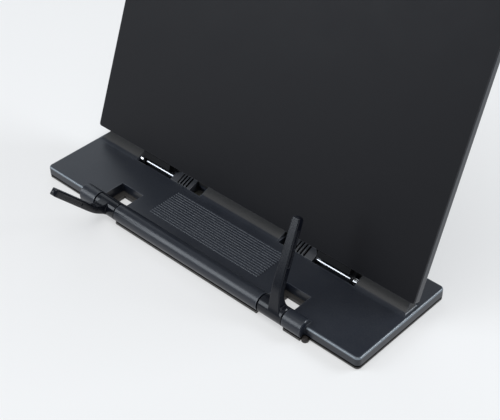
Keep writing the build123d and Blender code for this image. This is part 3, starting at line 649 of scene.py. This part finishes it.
def combine(tree, x=None, y=None, z=None):
    """A vector from number sockets; what is left out stays 0."""
    parts = [(name, part) for name, part in (("X", x), ("Y", y), ("Z", z)) if part is not None]
    return new_node(tree, "ShaderNodeCombineXYZ", parts).outputs["Vector"]


def link_piece(name, mesh):
    """A mesh as an object of the scene, at the origin."""
    piece = bpy.data.objects.new(name, mesh)
    bpy.context.scene.collection.objects.link(piece)
    return piece


def grown_piece(name, tree, settings, seed_mesh=None, smooth=True):
    """Runs a tree on a helper object and returns its result as a plain mesh piece."""
    helper = link_piece(name + "_helper", seed_mesh or bpy.data.meshes.new(name + "_seed"))
    modifier = helper.modifiers.new("grow", "NODES")
    modifier.node_group = tree
    for item in tree.interface.items_tree:
        if item.item_type == "SOCKET" and item.in_out == "INPUT" and item.name in settings:
            modifier[item.identifier] = settings[item.name]
    bpy.context.view_layer.update()
    evaluated = helper.evaluated_get(bpy.context.evaluated_depsgraph_get())
    mesh = bpy.data.meshes.new_from_object(evaluated)
    mesh.name = name
    piece = link_piece(name, mesh)
    helper.modifiers.remove(modifier)
    bpy.data.objects.remove(helper)
    for face in mesh.polygons:
        face.use_smooth = smooth
    low = [round(min(v.co[k] for v in mesh.vertices), 4) for k in range(3)]
    high = [round(max(v.co[k] for v in mesh.vertices), 4) for k in range(3)]
    print(name, "has", len(mesh.polygons), "faces, from", low, "to", high)
    return piece


# %% Ribs
BASE_FRONT = -0.0482
BASE_TOP = 0.0110
RIB_COUNT = 14
RIB_FIRST = BASE_FRONT + 0.0153
RIB_PITCH = 0.002235
RIB_LENGTH = 0.1098
RIB_HALF_WIDTH = 0.00043
RIB_HEIGHT = 0.00072
RIB_SIDES = 20


def rib_tree():
    """A row of rounded bars along X, one behind the other."""
    tree, enter, leave = new_tree("rib_field", [
        ("Count", RIB_COUNT), ("Pitch", RIB_PITCH), ("First", RIB_FIRST), ("Length", RIB_LENGTH),
        ("Half Width", RIB_HALF_WIDTH), ("Height", RIB_HEIGHT), ("Floor", BASE_TOP)])
    given = enter.outputs
    places = new_node(tree, "GeometryNodeMeshLine", [
        ("Count", given["Count"]),
        ("Start Location", combine(tree, y=given["First"], z=given["Floor"])),
        ("Offset", combine(tree, y=given["Pitch"]))])
    half = maths(tree, "MULTIPLY", given["Length"], 0.5)
    run = new_node(tree, "GeometryNodeCurvePrimitiveLine", [
        ("Start", combine(tree, x=maths(tree, "MULTIPLY", half, -1.0))),
        ("End", combine(tree, x=half))])
    round_bar = new_node(tree, "GeometryNodeCurvePrimitiveCircle", settings=[
        ("Resolution", RIB_SIDES), ("Radius", 1.0)])
    flattened = new_node(tree, "GeometryNodeTransform", [
        ("Geometry", round_bar.outputs["Curve"]),
        ("Scale", combine(tree, x=given["Height"], y=given["Half Width"]))])
    bar = new_node(
        tree, "GeometryNodeCurveToMesh",
        [("Curve", run.outputs["Curve"]), ("Profile Curve", flattened.outputs["Geometry"])],
        [("Fill Caps", True)])
    laid = new_node(tree, "GeometryNodeInstanceOnPoints", [
        ("Points", places.outputs["Mesh"]), ("Instance", bar.outputs["Mesh"])])
    close_tree(tree, leave, laid.outputs["Instances"], RIB_PLASTIC)
    return tree


ribs = grown_piece("rib_caps", rib_tree(), {"Count": RIB_COUNT, "Length": RIB_LENGTH})
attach(ribs, "base")


# %% [markdown]
# ## The screws
# The base is held by eight screws from below and the board's back by twelve. The solids only
# have plain discs for heads. A real head is a flat pan with a broken rim and a cross recess, so
# one head is made by hand: rings for the pan, and a cross cut out of its top and sunk. Geometry
# Nodes then set a copy of it on every place, turned to face outwards, each at its own angle, as
# a driver leaves them.

# %% One screw head
HEAD_SIDES = 40
# The pan's rings from its underside up: share of the radius, share of the height.
PAN_RINGS = ((0.55, -0.5), (1.0, -0.5), (1.0, 0.45), (0.96, 0.75), (0.86, 1.0))
CROSS_REACH = 0.58
CROSS_HALF_WIDTH = 0.13
CROSS_TAPER = 0.8


def join_rings(shape, lower, upper):
    """Faces between two closed rings of the same number of points."""
    count = len(lower)
    for k in range(count):
        after = (k + 1) % count
        shape.faces.new((lower[k], lower[after], upper[after], upper[k]))


def mesh_of(shape, name):
    """The finished mesh of a bmesh, with its faces outwards."""
    bmesh.ops.recalc_face_normals(shape, faces=shape.faces)
    mesh = bpy.data.meshes.new(name)
    shape.to_mesh(mesh)
    shape.free()
    return mesh


def screw_head_mesh(name, radius, height, recess):
    """A pan head on z = 0 with a cross recess in its top."""
    shape = bmesh.new()
    rings = []
    for across, up_to in PAN_RINGS:
        r, z = radius * across, height * up_to
        turns = [2 * math.pi * k / HEAD_SIDES for k in range(HEAD_SIDES)]
        rings.append([shape.verts.new((r * math.cos(t), r * math.sin(t), z)) for t in turns])
    for lower, upper in zip(rings, rings[1:]):
        join_rings(shape, lower, upper)
    shape.faces.new(list(reversed(rings[0])))
    arm, slot = radius * CROSS_REACH, radius * CROSS_HALF_WIDTH
    cross = []
    for quarter in range(4):
        c, s = math.cos(quarter * math.pi / 2), math.sin(quarter * math.pi / 2)
        corners = ((slot, -slot), (arm, -slot), (arm, slot))
        cross += [(x * c - y * s, x * s + y * c) for x, y in corners]
    mouth = [shape.verts.new((x, y, height)) for x, y in cross]
    floor_z = height - recess
    bottom = [shape.verts.new((x * CROSS_TAPER, y * CROSS_TAPER, floor_z)) for x, y in cross]
    rim = rings[-1]
    edges = [shape.edges.new((a, b)) for a, b in zip(mouth, mouth[1:] + mouth[:1])]
    edges += [shape.edges.get((a, b)) for a, b in zip(rim, rim[1:] + rim[:1])]
    bmesh.ops.triangle_fill(shape, use_beauty=True, edges=edges, normal=(0, 0, 1))
    join_rings(shape, mouth, bottom)
    shape.faces.new(bottom)
    return mesh_of(shape, name)


# %% Where the plain heads are
SAME_POINT = 1e-6
SAME_PLANE = 1e-5


def separate_solids(piece):
    """Lists of points, one for each loose solid of a carried piece."""
    shape = bmesh.new()
    shape.from_mesh(piece.data)
    bmesh.ops.remove_doubles(shape, verts=shape.verts, dist=SAME_POINT)
    left = set(shape.verts)
    groups = []
    while left:
        stack = [left.pop()]
        group = []
        while stack:
            vertex = stack.pop()
            group.append(vertex.co.copy())
            for edge in vertex.link_edges:
                other = edge.other_vert(vertex)
                if other in left:
                    left.remove(other)
                    stack.append(other)
        groups.append(group)
    shape.free()
    return groups


def outer_face_centres(piece, outward):
    """For each solid of the piece, the middle of its outermost face in that direction."""
    centres = []
    for group in separate_solids(piece):
        reach = max(point.dot(outward) for point in group)
        face = [point for point in group if point.dot(outward) > reach - SAME_PLANE]
        low = Vector([min(p[k] for p in face) for k in range(3)])
        high = Vector([max(p[k] for p in face) for k in range(3)])
        centres.append((low + high) / 2)
    return sorted(centres, key=lambda c: (round(c.x, 4), round(c.z, 4), round(c.y, 4)))


for node_name in ("base_screws", "board_screws"):
    print(node_name, "has", len(separate_solids(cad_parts[node_name])), "heads")


# %% Screws on their places
HEAD_RADIUS = 0.0025
RECESS_SHARE = 0.75
LEAN_BACK = math.radians(22.3)


def screw_tree(head_object, outward):
    """One head on each point of the seed mesh, each turned by its own quarter-turn or less."""
    tree, enter, leave = new_tree("cross_head_screws", [("Seed", 7), ("Size", 1.0)])
    given = enter.outputs
    spots = new_node(tree, "GeometryNodeMeshToPoints", [("Mesh", given["Geometry"])])
    source = new_node(tree, "GeometryNodeObjectInfo", settings=[("Object", head_object)])
    facing = new_node(
        tree, "FunctionNodeAlignRotationToVector", settings=[("Vector", outward)])
    facing.axis = "Z"
    chance = tree.nodes.new("FunctionNodeRandomValue")
    chance.data_type = "FLOAT"
    chance.inputs[2].default_value = 0.0
    chance.inputs[3].default_value = math.pi / 2
    tree.links.new(given["Seed"], chance.inputs["Seed"])
    spin = new_node(tree, "FunctionNodeAxisAngleToRotation", [("Angle", chance.outputs[1])])
    turned = new_node(tree, "FunctionNodeRotateRotation", [
        ("Rotation", facing.outputs["Rotation"]), ("Rotate By", spin.outputs["Rotation"])])
    turned.rotation_space = "LOCAL"
    laid = new_node(tree, "GeometryNodeInstanceOnPoints", [
        ("Points", spots.outputs["Points"]), ("Instance", source.outputs["Geometry"]),
        ("Rotation", turned.outputs["Rotation"]),
        ("Scale", combine(tree, given["Size"], given["Size"], given["Size"]))])
    close_tree(tree, leave, laid.outputs["Instances"], SCREW_STEEL)
    return tree


def screws_on(node_name, outward, head_height, body, seed):
    """Detailed heads in place of a node's plain ones, level with their outer faces."""
    outward = Vector(outward).normalized()
    head = link_piece("screw_head_pattern", screw_head_mesh(
        "screw_head_pattern", HEAD_RADIUS, head_height, head_height * RECESS_SHARE))
    centres = outer_face_centres(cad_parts[node_name], outward)
    spots = bpy.data.meshes.new(node_name + "_spots")
    spots.from_pydata([centre - outward * head_height for centre in centres], [], [])
    piece = grown_piece(
        node_name + "_heads", screw_tree(head, outward), {"Seed": seed}, spots, smooth=False)
    bpy.data.objects.remove(head)
    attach(piece, body)
    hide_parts(node_name)


screws_on("base_screws", (0, 0, -1), 0.0012, "base", 3)
screws_on("board_screws", (0, math.cos(LEAN_BACK), -math.sin(LEAN_BACK)), 0.00055, "board", 11)


# %% [markdown]
# ## The seam
# The cover and the tray meet in a narrow joint that runs round the whole base and along the
# barrel. No light comes back out of it, so it draws a black line. A dull black strip laid in the
# joint paints that shade, so the line stays black in any light. It follows a path, which is what
# Curve to Mesh is for: the path's corners are given as a few points, rounded by Fillet Curve, and
# a small rectangle is swept along it. Along the barrel it lies only where the barrel stays still,
# not at the hubs.

# %% Seam strips
SEAM_TOP = 0.0039
BASE_RIGHT = 0.1575
BASE_REAR = BASE_FRONT + 0.0935
BARREL_END = 0.1120
FIXED_BARREL = ((-0.0722, 0.0722), (0.0966, 0.1114), (-0.1114, -0.0966))
STRIP_INSET = 0.00033
STRIP_THICKNESS = 0.0004
STRIP_CORNER = 0.0032
STRIP_CORNER_STEPS = 8
STRIP_START = BARREL_END + 0.0006
BASE_STRIP_MIDDLE, BASE_STRIP_HEIGHT = SEAM_TOP - 0.00058, 0.00116
BARREL_STRIP_LINE = BASE_FRONT - 0.00435
BARREL_STRIP_MIDDLE, BARREL_STRIP_HEIGHT = SEAM_TOP - 0.0003, 0.0006


def strip_tree(name):
    """A small upright rectangle swept along the seed mesh's edges, round at their corners."""
    tree, enter, leave = new_tree(name, [
        ("Thickness", STRIP_THICKNESS), ("Height", BASE_STRIP_HEIGHT), ("Corner", STRIP_CORNER)])
    given = enter.outputs
    path = new_node(tree, "GeometryNodeMeshToCurve", [("Mesh", given["Geometry"])])
    rounded = tree.nodes.new("GeometryNodeFilletCurve")
    rounded.mode = "POLY"
    rounded.inputs["Count"].default_value = STRIP_CORNER_STEPS
    tree.links.new(path.outputs["Curve"], rounded.inputs["Curve"])
    tree.links.new(given["Corner"], rounded.inputs["Radius"])
    upright = new_node(
        tree, "GeometryNodeSetCurveNormal", [("Curve", rounded.outputs["Curve"])])
    upright.mode = "Z_UP"
    section = new_node(tree, "GeometryNodeCurvePrimitiveQuadrilateral", [
        ("Height", given["Height"]), ("Width", given["Thickness"])])
    swept = new_node(
        tree, "GeometryNodeCurveToMesh",
        [("Curve", upright.outputs["Curve"]), ("Profile Curve", section.outputs["Curve"])],
        [("Fill Caps", True)])
    close_tree(tree, leave, swept.outputs["Mesh"], PAINTED_SEAM_SHADE)
    return tree


def path_mesh(name, lines):
    """A mesh of edges only, one chain for each list of points."""
    points, edges = [], []
    for line in lines:
        edges += [(len(points) + k, len(points) + k + 1) for k in range(len(line) - 1)]
        points += line
    mesh = bpy.data.meshes.new(name)
    mesh.from_pydata(points, edges, [])
    return mesh


def seam_strip(name, lines, height):
    """A black strip of painted shade, of that height, along each line of points, fixed in the
    base's joint.
    """
    piece = grown_piece(
        name, strip_tree(name), {"Thickness": STRIP_THICKNESS, "Height": height},
        path_mesh(name + "_path", lines), smooth=False)
    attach(piece, "base")


def at_height(pairs, z):
    """Flat points lifted to one height."""
    return [(x, y, z) for x, y in pairs]


side, rear, front = BASE_RIGHT - STRIP_INSET, BASE_REAR - STRIP_INSET, BASE_FRONT + STRIP_INSET
round_base = at_height([
    (STRIP_START, front), (side, front), (side, rear),
    (-side, rear), (-side, front), (-STRIP_START, front)], BASE_STRIP_MIDDLE)
seam_strip("seam_strip_base", [round_base], BASE_STRIP_HEIGHT)
along_barrel = [
    at_height([(a, BARREL_STRIP_LINE), (b, BARREL_STRIP_LINE)], BARREL_STRIP_MIDDLE)
    for a, b in FIXED_BARREL]
seam_strip("seam_strip_barrel", along_barrel, BARREL_STRIP_HEIGHT)


# %% [markdown]
# ## The rail behind the pockets
# Behind each latch the hinge ridge goes on as a low rail, which closes the pocket towards the
# rear. It is a straight run of one section, so the section is written down once, with its two
# rounded shoulders worked out as arcs, and joined to its copy at the far end.

# %% Drawing a section out
def rounded_corner(before, corner, after, radius, steps):
    """Points of an arc that rounds a corner of a flat outline."""
    into = (Vector(before) - Vector(corner)).normalized()
    out = (Vector(after) - Vector(corner)).normalized()
    half = into.angle(out) / 2
    middle = Vector(corner) + (into + out).normalized() * (radius / math.sin(half))
    start = Vector(corner) + into * (radius / math.tan(half)) - middle
    end = Vector(corner) + out * (radius / math.tan(half)) - middle
    return [tuple(middle + start.slerp(end, k / steps).normalized() * radius)
            for k in range(steps + 1)]


def swept_section(name, section, spans, material):
    """One flat outline drawn out along X over each span, as a closed piece on the base."""
    shape = bmesh.new()
    for x0, x1 in spans:
        near = [shape.verts.new((x0, y, z)) for y, z in section]
        far = [shape.verts.new((x1, y, z)) for y, z in section]
        join_rings(shape, near, far)
        shape.faces.new(list(reversed(near)))
        shape.faces.new(far)
    piece = link_piece(name, mesh_of(shape, name))
    piece.data.materials.append(material)
    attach(piece, "base")
    print(name, "has", len(section), "points in its section and", len(spans), "spans")


# %% Rails
RAIL_FRONT = BASE_FRONT + 0.0619
RAIL_BACK = BASE_FRONT + 0.0655
RAIL_FOOT = BASE_TOP - 0.0003
RAIL_TOP = BASE_TOP + 0.0041
RAIL_SPANS = ((0.0390, 0.1108), (-0.1108, -0.0390))


def rail_section():
    """The rail's outline in the Y-Z plane, from its front foot over the top to its rear foot."""
    foot, brow = (RAIL_FRONT, RAIL_FOOT), (RAIL_FRONT, RAIL_TOP)
    crown, heel = (RAIL_BACK - 0.0022, RAIL_TOP + 0.0003), (RAIL_BACK, RAIL_FOOT)
    outline = [foot]
    outline += rounded_corner(foot, brow, crown, radius=0.0003, steps=3)
    outline += rounded_corner(brow, crown, heel, radius=0.0013, steps=8)
    return outline + [heel]


swept_section("pocket_rails", rail_section(), RAIL_SPANS, BASE_PLASTIC)


# %% [markdown]
# ## The tray's lip under the barrel
# The tray comes forward under the fixed lengths of the barrel, so that the seam runs on below
# them. Its wall stands upright there, with rounded edges. The arms' hubs need the room between,
# so the lip leaves them out.

# %% Lip under the barrel
LIP_FRONT = BASE_FRONT - 0.00485
LIP_BACK = BASE_FRONT - 0.0010
LIP_TOP = 0.0030
LIP_BOTTOM = 0.0008


def lip_section():
    """The lip's outline in the Y-Z plane, from its top rear corner forwards and down."""
    rear_top, front_top = (LIP_BACK, LIP_TOP), (LIP_FRONT, LIP_TOP)
    front_foot, rear_foot = (LIP_FRONT, LIP_BOTTOM), (LIP_BACK, LIP_BOTTOM)
    outline = [rear_top]
    outline += rounded_corner(rear_top, front_top, front_foot, radius=0.0002, steps=3)
    outline += rounded_corner(front_top, front_foot, rear_foot, radius=0.0005, steps=5)
    return outline + [rear_foot]


swept_section("barrel_lip", lip_section(), FIXED_BARREL, TRAY_PLASTIC)
